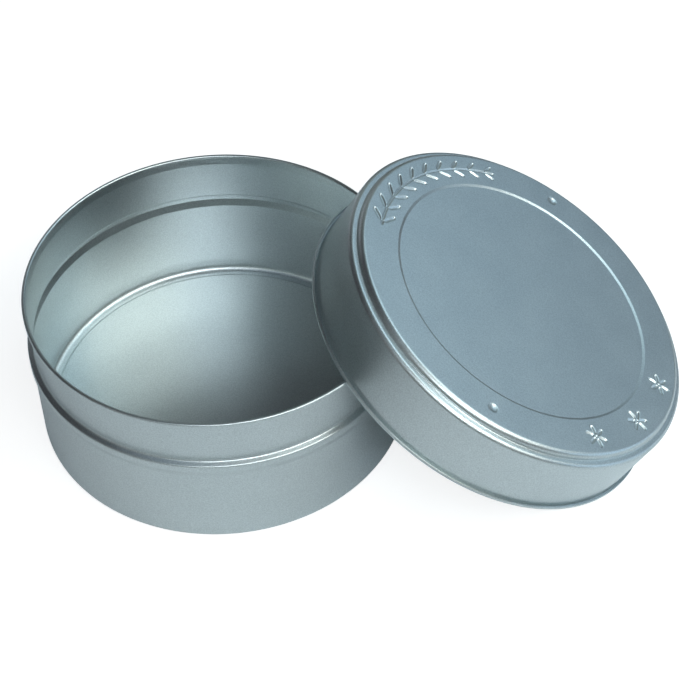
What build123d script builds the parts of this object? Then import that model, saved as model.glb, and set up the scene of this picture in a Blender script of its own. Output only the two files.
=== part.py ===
"""Round slip-lid tin, open, with its lid leaning on the rim.

Both pieces are pressed from one sheet of satin tinplate each. The tin stands on the foot ring
of its base, centred on the origin, with +Z up. The lid rests on the table by one point of its
lower curl, and on the tin's rim by two, and leans towards +X.
Sizes are in millimetres.
"""

from build123d import *
from math import cos, hypot, pi, radians, sin, sqrt
import os

SHEET = 0.28                      # tinplate thickness
STEP_BEND = 0.3                   # bend radius, at mid-sheet, of the low steps
FLARE_BEND = 1.0                  # and where a wall only leans a little

# Tin: a drawn body with a foot ring, a ridge that stops the lid, a neck and a folded rim
TIN_HEIGHT = 50.4
RIM_RADIUS = 57.0                 # outside of the folded rim
RIM_CURL = 0.6                    # outside radius of the rim's two bends
RIM_DROP = 0.7                    # straight length between them
RIM_TUCK = 105                    # degrees that the lower bend turns back in
BODY_RADIUS = 56.85               # outside of the wall below the ridge
BASE_CORNER = 2.6                 # outside radius where the wall meets the base
FOOT_INNER = 53.7                 # inside edge of the foot ring
PANEL_STEP = 0.4                  # how far the base panel stands above the foot ring
STEP_RUN = 0.7                    # width of the sloping step between them
RIDGE_RADIUS = 57.6               # outside of the ridge
RIDGE_LOW = 31.0                  # lower and upper edge of the ridge's flat crest
RIDGE_HIGH = 33.1
RIDGE_FALL = 2.3                  # height of the slope below the crest
SHOULDER_RISE = 0.9               # height of the slope above the crest, up to the neck
RIDGE_FOOT_BEND = 1.5
RIDGE_BEND = 0.5
NECK_RADIUS = 55.84               # outside of the neck
NECK_BEND = 1.0
FLARE_Z = 47.3                    # where the neck starts to lean out to the rim
FLARE_RISE = 2.2

# Lid, in its own frame: the lower curl's underside is at height 0
LID_HEIGHT = 23.1                 # top of the raised panel
SKIRT_RADIUS = 57.3               # outside of the skirt
LID_CURL = 0.75                   # outside radius of the lower roll's section
LID_TURN = 225                    # degrees that the roll turns through, so it stays open at its top
LEDGE_Z = 21.05                   # the ledge round the panel
LEDGE_CORNER = 1.3                # outside radius where the skirt turns into the ledge
LEDGE_BEND = 0.4                  # hollow bend where the panel's wall meets the ledge
PANEL_RADIUS = 54.9               # edge of the raised panel
PANEL_CORNER = 1.4
DISC_RADIUS = 42.7                # the sunk disc in the middle
DISC_STEP = 0.3
DISC_RUN = 0.8
DENT_RADIUS = 48.6                # two round dents, opposite each other on the panel
DENT_WIDTH = 3.2
DENT_DEPTH = 0.4
DENT_ANGLE = 79.0                 # degrees round the lid from its lowest side

# How the lid leans
LEAN = 29.8                       # degrees from level
CONTACT_GAP = 0.06                # left between the lid's curl and the tin's rim
NEAREST = 77.0                    # offsets of the lid that overlap the rim, and that clear it
FARTHEST = 91.0
HALVINGS = 40
RING_STEPS = 720                  # points tried round the lid's curl


def sheet_of_revolution(path):
    """Give the middle line of a section the sheet's thickness and turn it round the Z axis.

    The path is drawn flat, as radius and height, and the section is then stood up.
    """
    section = Plane.XZ * trace(path, line_width=SHEET)
    return revolve(section, Axis.Z, 360).solid()


def rounded(points, radii):
    """Middle line through the points, with one radius for each inner corner."""
    return FilletPolyline(*points, radius=radii)


def roll(start, centre_x, turn):
    """An arc from start round a centre level with it, clockwise by turn degrees."""
    x, z = start
    reach = abs(centre_x - x)
    first = 180 if centre_x > x else 0
    half = radians(first - turn / 2)
    whole = radians(first - turn)
    middle = (centre_x + reach * cos(half), z + reach * sin(half))
    end = (centre_x + reach * cos(whole), z + reach * sin(whole))
    return ThreePointArc(start, middle, end)


def tin_path():
    """Middle line of the tin's section, from the centre of its base out and up to the rim."""
    half = SHEET / 2
    foot_z = half
    panel_z = foot_z + PANEL_STEP
    wall_x = BODY_RADIUS - half
    ridge_x = RIDGE_RADIUS - half
    neck_x = NECK_RADIUS - half
    reach = RIM_CURL - half
    rim_x = RIM_RADIUS - RIM_CURL - reach
    rim_z = TIN_HEIGHT - RIM_CURL
    wall = rounded(
        [
            (0, panel_z),
            (FOOT_INNER - STEP_RUN, panel_z),
            (FOOT_INNER, foot_z),
            (wall_x, foot_z),
            (wall_x, RIDGE_LOW - RIDGE_FALL),
            (ridge_x, RIDGE_LOW),
            (ridge_x, RIDGE_HIGH),
            (neck_x, RIDGE_HIGH + SHOULDER_RISE),
            (neck_x, FLARE_Z),
            (rim_x, FLARE_Z + FLARE_RISE),
            (rim_x, rim_z),
        ],
        [
            STEP_BEND,
            STEP_BEND,
            BASE_CORNER - half,
            RIDGE_FOOT_BEND,
            RIDGE_BEND,
            RIDGE_BEND,
            NECK_BEND,
            FLARE_BEND,
            FLARE_BEND,
        ],
    )
    over = roll((rim_x, rim_z), rim_x + reach, 180)
    outer_x = rim_x + 2 * reach
    down = Line((outer_x, rim_z), (outer_x, rim_z - RIM_DROP))
    tuck = roll((outer_x, rim_z - RIM_DROP), outer_x - reach, RIM_TUCK)
    return Curve() + [wall, over, down, tuck]


def lid_path():
    """Middle line of the lid's section, from the centre of its top out and down to the curl."""
    half = SHEET / 2
    panel_z = LID_HEIGHT - half
    disc_z = panel_z - DISC_STEP
    ledge_z = LEDGE_Z - half
    skirt_x = SKIRT_RADIUS - half
    panel_x = PANEL_RADIUS - half
    curl_z = LID_CURL
    top = rounded(
        [
            (0, disc_z),
            (DISC_RADIUS - DISC_RUN, disc_z),
            (DISC_RADIUS, panel_z),
            (panel_x, panel_z),
            (panel_x, ledge_z),
            (skirt_x, ledge_z),
            (skirt_x, curl_z),
        ],
        [STEP_BEND, STEP_BEND, PANEL_CORNER, LEDGE_BEND, LEDGE_CORNER - half],
    )
    reach = LID_CURL - half
    curl = roll((skirt_x, curl_z), skirt_x + reach, -LID_TURN)
    return Curve() + [top, curl]


def dented(lid):
    """Press the two round dents into the lid's panel, keeping the sheet's thickness."""
    ball = ((DENT_WIDTH / 2) ** 2 + DENT_DEPTH**2) / (2 * DENT_DEPTH)
    height = LID_HEIGHT - DENT_DEPTH + ball
    below_panel = Pos(0, 0, LID_HEIGHT - SHEET / 2) * Cylinder(
        RIM_RADIUS, 2 * ball, align=(Align.CENTER, Align.CENTER, Align.MAX)
    )
    for angle in (DENT_ANGLE, DENT_ANGLE + 180):
        at = Rot(0, 0, angle) * Pos(DENT_RADIUS, 0, height)
        backing = (at * Sphere(ball + SHEET)) & below_panel
        lid = lid + backing - at * Sphere(ball)
    return lid.solid()


def lid_centre(offset):
    """Centre of the lid's lower face when its curl touches the table, offset from the axis."""
    tilt = radians(LEAN)
    ring = SKIRT_RADIUS - SHEET + LID_CURL
    ring_z = ring * sin(tilt) + LID_CURL
    return Vector(offset - LID_CURL * sin(tilt), 0, ring_z - LID_CURL * cos(tilt))


def rim_gap(offset):
    """Smallest gap between the lid's curl and the tin's rim at that offset."""
    tilt = radians(LEAN)
    ring = SKIRT_RADIUS - SHEET + LID_CURL
    ring_z = ring * sin(tilt) + LID_CURL
    nearest = LID_HEIGHT
    for step in range(RING_STEPS):
        turn = 2 * pi * step / RING_STEPS
        x = offset + ring * cos(turn) * cos(tilt)
        y = ring * sin(turn)
        z = ring_z - ring * cos(turn) * sin(tilt)
        across = hypot(x, y) - (RIM_RADIUS - RIM_CURL)
        along = z - (TIN_HEIGHT - RIM_CURL)
        nearest = min(nearest, sqrt(across**2 + along**2))
    return nearest - RIM_CURL - LID_CURL


def resting_offset():
    """Slide the lid towards the tin until its curl all but touches the rim."""
    near, far = NEAREST, FARTHEST
    for _ in range(HALVINGS):
        middle = (near + far) / 2
        if rim_gap(middle) < CONTACT_GAP:
            near = middle
        else:
            far = middle
    return far


def leaning(lid):
    """Move the lid from its own frame to where it leans on the tin."""
    place = lid_centre(resting_offset())
    return Pos(*place) * Rot(0, LEAN, 0) * lid


def main():
    tin_body = sheet_of_revolution(tin_path())
    lid = leaning(dented(sheet_of_revolution(lid_path())))
    os.makedirs("parts", exist_ok=True)
    export_step(tin_body, "parts/tin_body.step")
    export_step(lid, "parts/lid.step")


main()
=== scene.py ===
"""Looks of a slip-lid tin: two pressed sheets of satin tinplate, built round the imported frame.

Sections are drawn in millimetres, as radius and height, and turned into thin closed sheets.
"""
import math

import bpy
import numpy as np
from mathutils import Matrix, Vector


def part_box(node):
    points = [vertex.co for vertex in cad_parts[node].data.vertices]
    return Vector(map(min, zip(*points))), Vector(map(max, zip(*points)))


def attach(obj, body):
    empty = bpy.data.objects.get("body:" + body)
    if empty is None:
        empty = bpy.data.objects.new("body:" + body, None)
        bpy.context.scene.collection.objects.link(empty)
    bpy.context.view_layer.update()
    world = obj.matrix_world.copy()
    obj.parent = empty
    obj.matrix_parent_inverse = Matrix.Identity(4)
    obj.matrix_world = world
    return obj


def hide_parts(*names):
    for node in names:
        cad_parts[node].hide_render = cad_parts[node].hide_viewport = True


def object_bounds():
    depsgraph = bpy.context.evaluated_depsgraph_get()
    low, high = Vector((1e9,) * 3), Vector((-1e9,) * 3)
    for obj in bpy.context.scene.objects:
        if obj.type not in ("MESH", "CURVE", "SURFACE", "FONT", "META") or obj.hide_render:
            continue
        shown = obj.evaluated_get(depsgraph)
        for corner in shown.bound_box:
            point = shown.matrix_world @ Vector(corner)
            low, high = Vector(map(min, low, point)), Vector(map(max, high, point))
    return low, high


MM = 0.001

SHEET = 0.28                      # tinplate thickness
STEP_BEND = 0.3                   # bend radius, at mid-sheet, of the low steps
FLARE_BEND = 1.0

# Tin
RIM_UNDER_RIDGE = 0.6             # how much narrower the rim is than the ridge, in radius
RIM_CURL = 0.6
RIM_DROP = 0.7
RIM_TUCK = 105                    # degrees
BODY_UNDER_RIDGE = 0.75
BASE_CORNER = 2.6
FOOT_INNER = 53.7
PANEL_STEP = 0.4
STEP_RUN = 0.7
RIDGE_LOW = 31.0
RIDGE_HIGH = 33.1
RIDGE_FALL = 2.3
SHOULDER_RISE = 0.9
RIDGE_FOOT_BEND = 1.5
RIDGE_BEND = 0.5
NECK_UNDER_RIM = 1.16
NECK_BEND = 1.0
FLARE_Z = 47.3
FLARE_RISE = 2.2

# Lid, in its own frame
LEAN = 29.8                       # degrees
LID_HEIGHT = 23.1
LID_CURL = 0.75
LID_TURN = 225                    # degrees
LEDGE_Z = 21.05
LEDGE_CORNER = 1.3
LEDGE_BEND = 0.4
PANEL_RADIUS = 54.9
PANEL_CORNER = 1.4
DISC_RADIUS = 42.7
DISC_STEP = 0.3
DISC_RUN = 0.8

# Dents and stamped ornament on the lid's panel. Angles are degrees round the lid, and 0 is its
# lowest side.
DENT_RADIUS = 48.6
DENT_WIDTH = 3.2
DENT_DEPTH = 0.4
DENT_ANGLES = (79, 259)
STAMP_DEPTH = 0.42
STAMP_RADIUS = 48.4               # middle of the stamped band
GARLAND_START = 105
GARLAND_END = 176
LEAF_PAIRS = 10
LEAF_LENGTH = 4.9
LEAF_WIDTH = 1.6
LEAF_SLANT = 38                   # degrees between a leaf and the stem
LEAF_SHRINK = 0.3                 # how much smaller the leaves are at the tip
LEAF_FOOT = 0.45                  # from the stem's middle line to a leaf's foot
LEAF_EDGE = 0.05                  # width that a leaf keeps at its pointed ends
FIRST_PAIR = 0.02                 # where the first and last pair grow, as shares of the stem
LAST_PAIR = 0.95
STEM_WIDTH = 0.9
FLOWER_ANGLES = (300.7, 323.7, 347.5)
FLOWER_EYE = 1.0                  # width of the dot in its middle
PETALS = 6
PETAL_LENGTH = 2.9
PETAL_FOOT = 0.75                 # from the flower's middle to a petal's foot

# Light colours: a white lamp and a cooler one, a window's light, pale and full, and two walls
WHITE_LAMP = (0.96, 1.0, 0.95)
COOL_LAMP = (0.88, 0.95, 1.0)
PALE_SKY = (0.65, 0.9, 1.0)
FULL_SKY = (0.53, 0.78, 1.0)
GREEN_WALL = (0.75, 1.0, 0.8)
GREY_WALL = (0.87, 1.0, 0.95)

# Width and height of the soft boxes, in metres at a distance of one metre
KEY_BOX = (0.5, 0.25)
HIGH_BOX = (0.43, 0.32)
WALL_BOX = (0.72, 0.39)
WINDOW_BOX = (0.82, 0.34)
GLOW_BOX = (0.6, 0.46)

# Soft boxes: name, azimuth and elevation of the middle in degrees, size, colour and radiance.
# Azimuth 0 is behind the pieces and 90 to their right.
SOFT_BOXES = (
    ("key_corner", 130, 45, KEY_BOX, WHITE_LAMP, 7.2),
    ("key_front", 167, 45, KEY_BOX, COOL_LAMP, 6.8),
    ("key_right", 92, 45, KEY_BOX, WHITE_LAMP, 5.6),
    ("key_back", 50, 45, KEY_BOX, PALE_SKY, 1.8),
    ("high_back", 60, 61, HIGH_BOX, PALE_SKY, 1.5),
    ("high_left", 210, 61, HIGH_BOX, FULL_SKY, 0.5),
    ("window", 90, 6.5, WINDOW_BOX, FULL_SKY, 1.45),
    ("back_wall", 45, 27, WALL_BOX, FULL_SKY, 0.55),
    ("far_wall", 0, 27, WALL_BOX, GREY_WALL, 0.35),
    ("front_wall", 180, 27, WALL_BOX, GREEN_WALL, 0.25),
    ("left_wall", 225, 27, WALL_BOX, WHITE_LAMP, 0.43),
    ("left_glow", 322, 14, GLOW_BOX, COOL_LAMP, 0.42),
)
LIGHT_DISTANCE = 1.5              # metres
ROOM_COLOR = (0.035, 0.035, 0.04)
BACKDROP_GLOW = 0.78              # added so that the paper looks white to the camera
BACKDROP_PAINT = (0.55, 0.55, 0.55)
PAPER_COLOR = (0.88, 0.91, 0.94)  # as reflections see it
# painted shade: the paper's colour far from the pieces, standing in for light that falls off there
PAINTED_SHADE_COLOR = (0.05, 0.05, 0.05)
PAINTED_LIGHT_REACH = (0.32, 0.55)        # metres from its middle where the painted pool of light on the paper starts to dim, and where the paper is painted dark
FLOOR_HALF = 6.0                  # metres

# Camera, in millimetres
CAMERA_PLACE = (77.5, -386.3, 434.7)
CAMERA_AIM = (39.8, -1.92, 25.0)
CAMERA_ROLL = -1.4                # degrees
CAMERA_LENS = 95.5
SENSOR_WIDTH = 36
NEAREST_SEEN = 0.01               # metres

# Tinplate: colours and roughness, and the sizes of its mottling and grain
PALE_TIN = (0.68, 0.735, 0.745)
DULL_TIN = (0.55, 0.60, 0.61)
ROUGHNESS = 0.38
ROUGHNESS_SPREAD = 0.012
MOTTLE_SCALE = 90
MOTTLE_DETAIL = 3
GRAIN_SCALE = 2600
GRAIN_DETAIL = 2
GRAIN_SHARE = 0.85                # of the colour's variation; the rest is mottling
GRAIN_STRENGTH = 0.9
GRAIN_DEPTH = 0.00005             # metres
NOISE_RANGE = (0.3, 0.7)          # where most of a noise texture's values lie
COLOR_RANGE = (0.35, 0.65)        # noise values that give the dull and the pale colour

# Mesh resolution
ARC_STEP = 9                      # most degrees between points along a bend
FEWEST_STEPS = 3                  # along even a slight bend
SUPPORT = 0.12                    # millimetres from a bend to the next ring on its straight run
SUPPORT_SHARE = 0.3               # but at most this share of the run
COARSE_ANGLE = 1.25               # most degrees between points round a piece
FINE_ANGLE = 0.24                 # and where the lid is stamped
STAMP_RINGS = 0.2                 # millimetres between rings across the stamped band
STAMP_MARGIN = 0.7                # from the first and last of those rings to the bends beside them
STAMP_TURN = 5                    # degrees of fine mesh past each end of a stamp


# ---------------------------------------------------------------- sections

def bent_line(points, bends):
    """The points joined by straight runs, with each inner corner rounded to its bend radius."""
    points = [Vector(p) for p in points]
    line = [points[0]]
    for before, corner, after, bend in zip(points, points[1:], points[2:], bends):
        back = (before - corner).normalized()
        ahead = (after - corner).normalized()
        turn = math.pi - back.angle(ahead)
        reach = bend * math.tan(turn / 2)
        centre = corner + (back + ahead).normalized() * (bend / math.cos(turn / 2))
        start = corner + back * reach - centre
        end = corner + ahead * reach - centre
        count = max(FEWEST_STEPS, math.ceil(math.degrees(turn) / ARC_STEP))
        arc = [centre + bend * start.slerp(end, i / count) for i in range(count + 1)]
        line.append(arc[0] + back * min(SUPPORT, SUPPORT_SHARE * (before - corner).length))
        line.extend(arc)
        line.append(arc[-1] + ahead * min(SUPPORT, SUPPORT_SHARE * (after - corner).length))
    line.append(points[-1])
    return line


def roll(start, reach, turn):
    """Points of an arc from start, clockwise by turn degrees, round a centre level with it."""
    centre = Vector((start[0] + reach, start[1]))
    arm = Vector((-reach, 0))
    count = math.ceil(abs(turn) / ARC_STEP)
    turns = [math.radians(-turn * i / count) for i in range(1, count + 1)]
    return [centre + Matrix.Rotation(angle, 2) @ arm for angle in turns]


def tin_line(ridge_radius, height):
    """Middle line of the tin's sheet, from the centre of the base to the end of the rim's fold."""
    half = SHEET / 2
    foot_z = half
    panel_z = foot_z + PANEL_STEP
    ridge_x = ridge_radius - half
    wall_x = ridge_x - BODY_UNDER_RIDGE
    rim_radius = ridge_radius - RIM_UNDER_RIDGE
    neck_x = rim_radius - NECK_UNDER_RIM - half
    reach = RIM_CURL - half
    rim_x = rim_radius - RIM_CURL - reach
    rim_z = height - RIM_CURL
    wall = bent_line(
        [
            (0, panel_z),
            (FOOT_INNER - STEP_RUN, panel_z),
            (FOOT_INNER, foot_z),
            (wall_x, foot_z),
            (wall_x, RIDGE_LOW - RIDGE_FALL),
            (ridge_x, RIDGE_LOW),
            (ridge_x, RIDGE_HIGH),
            (neck_x, RIDGE_HIGH + SHOULDER_RISE),
            (neck_x, FLARE_Z),
            (rim_x, FLARE_Z + FLARE_RISE),
            (rim_x, rim_z),
        ],
        [
            STEP_BEND,
            STEP_BEND,
            BASE_CORNER - half,
            RIDGE_FOOT_BEND,
            RIDGE_BEND,
            RIDGE_BEND,
            NECK_BEND,
            FLARE_BEND,
            FLARE_BEND,
        ],
    )
    over = roll(wall[-1], reach, 180)
    lower = over[-1] - Vector((0, RIM_DROP))
    return wall + over + [lower] + roll(lower, -reach, RIM_TUCK)


def lid_line(curl_radius):
    """Middle line of the lid's sheet, from the centre of its top to the end of its lower roll."""
    half = SHEET / 2
    panel_z = LID_HEIGHT - half
    disc_z = panel_z - DISC_STEP
    ledge_z = LEDGE_Z - half
    reach = LID_CURL - half
    skirt_x = curl_radius - LID_CURL - reach
    panel_x = PANEL_RADIUS - half
    band_end = PANEL_RADIUS - PANEL_CORNER - STAMP_MARGIN
    band = np.arange(DISC_RADIUS + STAMP_MARGIN, band_end, STAMP_RINGS)
    inside = bent_line(
        [(0, disc_z), (DISC_RADIUS - DISC_RUN, disc_z), (DISC_RADIUS, panel_z), (band[0], panel_z)],
        [STEP_BEND, STEP_BEND],
    )
    middle = [Vector((radius, panel_z)) for radius in band[1:-1]]
    outside = bent_line(
        [
            (band[-1], panel_z),
            (panel_x, panel_z),
            (panel_x, ledge_z),
            (skirt_x, ledge_z),
            (skirt_x, LID_CURL),
        ],
        [PANEL_CORNER, LEDGE_BEND, LEDGE_CORNER - half],
    )
    return inside + middle + outside + roll(outside[-1], reach, -LID_TURN)


def both_faces(line):
    """Closed outline of a sheet: out along one face of its middle line and back along the other."""
    points = np.array(line)
    along = np.gradient(points, axis=0)
    along /= np.linalg.norm(along, axis=1)[:, None]
    along[0] = (1, 0)
    across = np.stack([-along[:, 1], along[:, 0]], axis=1) * SHEET / 2
    return np.concatenate([points + across, (points - across)[::-1]])


# ---------------------------------------------------------------- meshes

def turned_piece(name, outline, angles, stamp=None):
    """Turn a closed outline about the Z axis into a mesh, with its vertices in millimetres.

    The outline's first and last points lie on the axis. stamp moves points up or down.
    """
    turns = np.radians(angles)
    rings = outline[1:-1]
    x = rings[:, 0][:, None] * np.cos(turns)
    y = rings[:, 0][:, None] * np.sin(turns)
    z = np.repeat(rings[:, 1][:, None], len(turns), axis=1)
    if stamp is not None:
        z = z + stamp(x, y, z)
    grid = np.stack([x, y, z], axis=2).reshape(-1, 3)
    poles = [(0, 0, outline[0][1]), (0, 0, outline[-1][1])]
    count = len(turns)
    first = np.arange(count)
    after = (first + 1) % count
    faces = []
    for ring in range(len(rings) - 1):
        low, high = ring * count, (ring + 1) * count
        faces.extend(zip(low + first, high + first, high + after, low + after))
    top, bottom = len(grid), len(grid) + 1
    last = (len(rings) - 1) * count
    faces.extend(zip([top] * count, first, after))
    faces.extend(zip([bottom] * count, last + after, last + first))
    mesh = bpy.data.meshes.new(name)
    faces = [tuple(int(i) for i in face) for face in faces]
    mesh.from_pydata([*map(tuple, grid), *poles], [], faces)
    mesh.polygons.foreach_set("use_smooth", [True] * len(mesh.polygons))
    mesh.update()
    piece = bpy.data.objects.new(name, mesh)
    bpy.context.scene.collection.objects.link(piece)
    return piece


def spread_out(start, end, step):
    """Evenly spaced angles from start up to, but not including, end."""
    return np.linspace(start, end, math.ceil((end - start) / step), endpoint=False)


def stamped_angles():
    """Angles round the lid, close together where it is stamped or dented."""
    spans = [(GARLAND_START - STAMP_TURN, GARLAND_END + STAMP_TURN)]
    spans.extend((a - STAMP_TURN, a + STAMP_TURN) for a in FLOWER_ANGLES)
    spans.extend((a - STAMP_TURN / 2, a + STAMP_TURN / 2) for a in DENT_ANGLES)
    spans.sort()
    angles = []
    reached = 0
    for start, end in spans:
        angles.append(spread_out(reached, start, COARSE_ANGLE))
        angles.append(spread_out(start, end, FINE_ANGLE))
        reached = end
    angles.append(spread_out(reached, 360, COARSE_ANGLE))
    return np.concatenate(angles)


# ---------------------------------------------------------------- stamping

def groove(distance, width):
    """Depth across a stamped stroke, from 1 at its middle line to 0 at its edge."""
    share = np.clip(1 - 2 * distance / width, 0, 1)
    return share * share * (3 - 2 * share)


def leaf(x, y, foot, heading, length, width):
    """Depth of one pointed leaf that grows from its foot."""
    along = (x - foot[0]) * math.cos(heading) + (y - foot[1]) * math.sin(heading)
    across = (y - foot[1]) * math.cos(heading) - (x - foot[0]) * math.sin(heading)
    share = np.clip(2 * along / length - 1, -1, 1)
    local_width = np.maximum(width * np.sqrt(1 - share**4), LEAF_EDGE)
    return groove(np.abs(across), local_width) * (np.abs(share) < 1)


def on_band(angle, radius=STAMP_RADIUS):
    """A point of the stamped band, at an angle round the lid."""
    turn = math.radians(angle)
    return Vector((radius * math.cos(turn), radius * math.sin(turn)))


def garland(x, y):
    """A stem along the band, with pairs of leaves that get smaller towards its tip."""
    radius = np.hypot(x, y)
    angle = np.degrees(np.arctan2(y, x))
    beyond = np.maximum(GARLAND_START - angle, angle - GARLAND_END).clip(0)
    depth = groove(np.hypot(radius - STAMP_RADIUS, STAMP_RADIUS * np.radians(beyond)), STEM_WIDTH)
    for pair in range(LEAF_PAIRS):
        share = pair / (LEAF_PAIRS - 1)
        along = FIRST_PAIR + (LAST_PAIR - FIRST_PAIR) * share
        foot_angle = GARLAND_END + (GARLAND_START - GARLAND_END) * along
        size = 1 - LEAF_SHRINK * share**2
        for side in (-1, 1):
            heading = math.radians(foot_angle - 90 + side * LEAF_SLANT)
            foot = on_band(foot_angle, STAMP_RADIUS + LEAF_FOOT * side)
            blade = leaf(x, y, foot, heading, size * LEAF_LENGTH, size * LEAF_WIDTH)
            depth = np.maximum(depth, blade)
    return depth


def flower(x, y, angle):
    """A dot with petals round it, at a point of the band."""
    middle = on_band(angle)
    depth = groove(np.hypot(x - middle.x, y - middle.y), FLOWER_EYE)
    for petal in range(PETALS):
        heading = math.radians(angle + 360 * petal / PETALS)
        foot = middle + PETAL_FOOT * Vector((math.cos(heading), math.sin(heading)))
        depth = np.maximum(depth, leaf(x, y, foot, heading, PETAL_LENGTH, LEAF_WIDTH))
    return depth


def dent(x, y, angle):
    """Depth of a round dent."""
    middle = on_band(angle, DENT_RADIUS)
    share = 2 * np.hypot(x - middle.x, y - middle.y) / DENT_WIDTH
    return np.clip(1 - share**2, 0, 1)


def panel_stamp(x, y, z):
    """How far each point of the lid moves when its panel is stamped, in millimetres."""
    depth = STAMP_DEPTH * garland(x, y)
    for angle in FLOWER_ANGLES:
        depth = np.maximum(depth, STAMP_DEPTH * flower(x, y, angle))
    for angle in DENT_ANGLES:
        depth = np.maximum(depth, DENT_DEPTH * dent(x, y, angle))
    return -depth * (z > LEDGE_Z)


# ---------------------------------------------------------------- material

def link(tree, source, output, target, socket):
    """Link an output of one node to an input of another."""
    tree.links.new(source.outputs[output], target.inputs[socket])


def noise(tree, place, scale, detail):
    """A noise texture on the piece's own coordinates."""
    node = tree.nodes.new("ShaderNodeTexNoise")
    node.inputs["Scale"].default_value = scale
    node.inputs["Detail"].default_value = detail
    link(tree, place, "Object", node, "Vector")
    return node


def map_range(tree, source, output, given, wanted):
    """Map a value from one range, (low, high), to another."""
    node = tree.nodes.new("ShaderNodeMapRange")
    node.inputs["From Min"].default_value, node.inputs["From Max"].default_value = given
    node.inputs["To Min"].default_value, node.inputs["To Max"].default_value = wanted
    link(tree, source, output, node, "Value")
    return node


def plain_shader(tree, kind, color):
    """A diffuse, emission or background shader of one colour."""
    node = tree.nodes.new(kind)
    node.inputs["Color"].default_value = (*color, 1)
    return node


def tinplate(name):
    """Satin tinplate: frosted grain and soft mottling."""
    material = bpy.data.materials.new(name)
    material.use_nodes = True
    tree = material.node_tree
    shader = tree.nodes["Principled BSDF"]
    shader.inputs["Metallic"].default_value = 1.0
    place = tree.nodes.new("ShaderNodeTexCoord")

    mottle = noise(tree, place, MOTTLE_SCALE, MOTTLE_DETAIL)
    grain = noise(tree, place, GRAIN_SCALE, GRAIN_DETAIL)
    ramp = tree.nodes.new("ShaderNodeValToRGB")
    for stop, position, color in zip(ramp.color_ramp.elements, COLOR_RANGE, (DULL_TIN, PALE_TIN)):
        stop.position = position
        stop.color = (*color, 1)
    blend = tree.nodes.new("ShaderNodeMix")
    blend.inputs["Factor"].default_value = GRAIN_SHARE
    link(tree, mottle, "Fac", blend, "A")
    link(tree, grain, "Fac", blend, "B")
    link(tree, blend, "Result", ramp, "Fac")
    link(tree, ramp, "Color", shader, "Base Color")

    rough_range = (ROUGHNESS - ROUGHNESS_SPREAD, ROUGHNESS + ROUGHNESS_SPREAD)
    rough = map_range(tree, mottle, "Fac", NOISE_RANGE, rough_range)
    link(tree, rough, "Result", shader, "Roughness")

    bump = tree.nodes.new("ShaderNodeBump")
    bump.inputs["Strength"].default_value = GRAIN_STRENGTH
    bump.inputs["Distance"].default_value = GRAIN_DEPTH
    link(tree, grain, "Fac", bump, "Height")
    link(tree, bump, "Normal", shader, "Normal")
    return material


# ---------------------------------------------------------------- stage

def seen_or_not(tree, unseen, seen, output):
    """Show the camera one shader, and light and reflections the other."""
    path = tree.nodes.new("ShaderNodeLightPath")
    mix = tree.nodes.new("ShaderNodeMixShader")
    link(tree, path, "Is Camera Ray", mix, 0)
    link(tree, unseen, 0, mix, 1)
    link(tree, seen, 0, mix, 2)
    link(tree, mix, 0, output, "Surface")


def backdrop_paper():
    """White paper with a soft contact shadow. For reflections its colour carries a painted pool of
    light: bright near the pieces, painted dark beyond.
    """
    material = bpy.data.materials.new("backdrop_paper")
    material.use_nodes = True
    tree = material.node_tree
    tree.nodes.remove(tree.nodes["Principled BSDF"])
    place = tree.nodes.new("ShaderNodeTexCoord")
    distance = tree.nodes.new("ShaderNodeVectorMath")
    distance.operation = "LENGTH"
    link(tree, place, "Object", distance, 0)
    # painted light: the paper's colour dims to dark with distance from its middle, standing in for
    # light that falls off
    painted_falloff = map_range(tree, distance, "Value", PAINTED_LIGHT_REACH, (1, 0))
    paper = tree.nodes.new("ShaderNodeMixShader")
    link(tree, painted_falloff, "Result", paper, 0)
    link(tree, plain_shader(tree, "ShaderNodeBsdfDiffuse", PAINTED_SHADE_COLOR), 0, paper, 1)
    link(tree, plain_shader(tree, "ShaderNodeBsdfDiffuse", PAPER_COLOR), 0, paper, 2)
    shade = plain_shader(tree, "ShaderNodeBsdfDiffuse", BACKDROP_PAINT)
    glow = plain_shader(tree, "ShaderNodeEmission", (1, 1, 1))
    glow.inputs["Strength"].default_value = BACKDROP_GLOW
    seen = tree.nodes.new("ShaderNodeAddShader")
    link(tree, shade, 0, seen, 0)
    link(tree, glow, 0, seen, 1)
    seen_or_not(tree, paper, seen, tree.nodes["Material Output"])
    return material


def make_floor(middle, lowest):
    """A wide sheet of the backdrop paper under the pieces."""
    mesh = bpy.data.meshes.new("floor")
    corners = [(x * FLOOR_HALF, y * FLOOR_HALF, 0) for x, y in ((-1, -1), (1, -1), (1, 1), (-1, 1))]
    mesh.from_pydata(corners, [], [(0, 1, 2, 3)])
    floor = bpy.data.objects.new("floor", mesh)
    floor.location = (middle.x, middle.y, lowest)
    floor.data.materials.append(backdrop_paper())
    bpy.context.scene.collection.objects.link(floor)


def soft_box(middle, name, azimuth, elevation, size, color, radiance):
    """A flat light that faces the pieces, equally bright all over. Its size is at one metre."""
    width, height = [side * LIGHT_DISTANCE for side in size]
    data = bpy.data.lights.new(name, "AREA")
    data.shape = "RECTANGLE"
    data.size, data.size_y = width, height
    data.color = color
    data.energy = radiance * math.pi * width * height
    turn, rise = math.radians(azimuth), math.radians(elevation)
    level = Vector((math.sin(turn), math.cos(turn), 0))
    away = level * math.cos(rise) + Vector((0, 0, math.sin(rise)))
    light = bpy.data.objects.new(name, data)
    light.location = middle + LIGHT_DISTANCE * away
    light.rotation_euler = (-away).to_track_quat("-Z", "Y").to_euler()
    bpy.context.scene.collection.objects.link(light)


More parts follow.
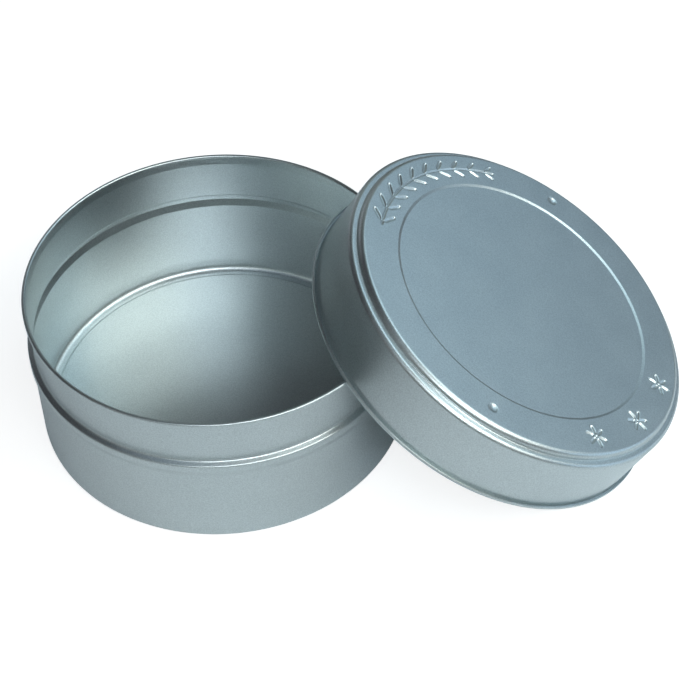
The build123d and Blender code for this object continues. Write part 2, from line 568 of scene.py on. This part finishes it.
def make_room():
    """A dim room, with a white backdrop where the camera sees past the floor."""
    world = bpy.data.worlds.new("room")
    world.use_nodes = True
    tree = world.node_tree
    room = tree.nodes["Background"]
    room.inputs["Color"].default_value = (*ROOM_COLOR, 1)
    backdrop = plain_shader(tree, "ShaderNodeBackground", (1, 1, 1))
    seen_or_not(tree, room, backdrop, tree.nodes["World Output"])
    bpy.context.scene.world = world


def make_camera():
    """Camera in front of the pieces and well above them, aimed between them."""
    data = bpy.data.cameras.new("camera")
    data.lens = CAMERA_LENS
    data.sensor_width = SENSOR_WIDTH
    camera = bpy.data.objects.new("camera", data)
    place = Vector(CAMERA_PLACE) * MM
    aim = Vector(CAMERA_AIM) * MM
    tilt = Matrix.Rotation(math.radians(CAMERA_ROLL), 4, "Z")
    look = (aim - place).to_track_quat("-Z", "Y").to_matrix().to_4x4()
    camera.matrix_world = Matrix.Translation(place) @ look @ tilt
    data.clip_start = NEAREST_SEEN
    bpy.context.scene.collection.objects.link(camera)
    bpy.context.scene.camera = camera


# ---------------------------------------------------------------- pieces

def finish_piece(piece, body, node, material):
    """Give a piece its material, and put it in its CAD node's place on its body."""
    piece.data.materials.append(material)
    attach(piece, body)
    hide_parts(node)


def make_tin(material):
    """The open tin, as wide and as high as its CAD node."""
    low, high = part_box("tin_body")
    line = tin_line(high.x / MM, (high.z - low.z) / MM)
    tin = turned_piece("tin", both_faces(line), spread_out(0, 360, COARSE_ANGLE))
    tin.data.transform(Matrix.Scale(MM, 4))
    finish_piece(tin, "tin", "tin_body", material)


def make_lid(material):
    """The lid, as wide as its CAD node and leaning in the same place."""
    low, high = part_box("lid")
    curl_radius = high.y / MM
    tilt = math.radians(LEAN)
    ring = curl_radius - LID_CURL
    ring_x = low.x / MM + ring * math.cos(tilt) + LID_CURL
    ring_z = ring * math.sin(tilt) + LID_CURL
    lid = turned_piece("lid_shell", both_faces(lid_line(curl_radius)), stamped_angles(), panel_stamp)
    lean = Matrix.Translation((ring_x, 0, ring_z)) @ Matrix.Rotation(tilt, 4, "Y")
    from_curl = Matrix.Translation((0, 0, -LID_CURL))
    lid.data.transform(Matrix.Scale(MM, 4) @ lean @ from_curl)
    finish_piece(lid, "lid", "lid", material)


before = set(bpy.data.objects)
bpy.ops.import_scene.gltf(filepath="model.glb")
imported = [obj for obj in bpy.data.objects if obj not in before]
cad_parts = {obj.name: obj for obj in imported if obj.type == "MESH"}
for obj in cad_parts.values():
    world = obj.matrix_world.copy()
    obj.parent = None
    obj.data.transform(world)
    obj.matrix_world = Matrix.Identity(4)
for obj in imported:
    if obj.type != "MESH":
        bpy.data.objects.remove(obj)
cad_low, cad_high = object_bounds()
make_camera()
steel = tinplate("tinplate_sheet")
make_tin(steel)
make_lid(steel)
make_floor((cad_low + cad_high) / 2, cad_low.z)
make_room()
for box in SOFT_BOXES:
    soft_box((cad_low + cad_high) / 2, *box)
bpy.context.scene.view_settings.view_transform = "Standard"
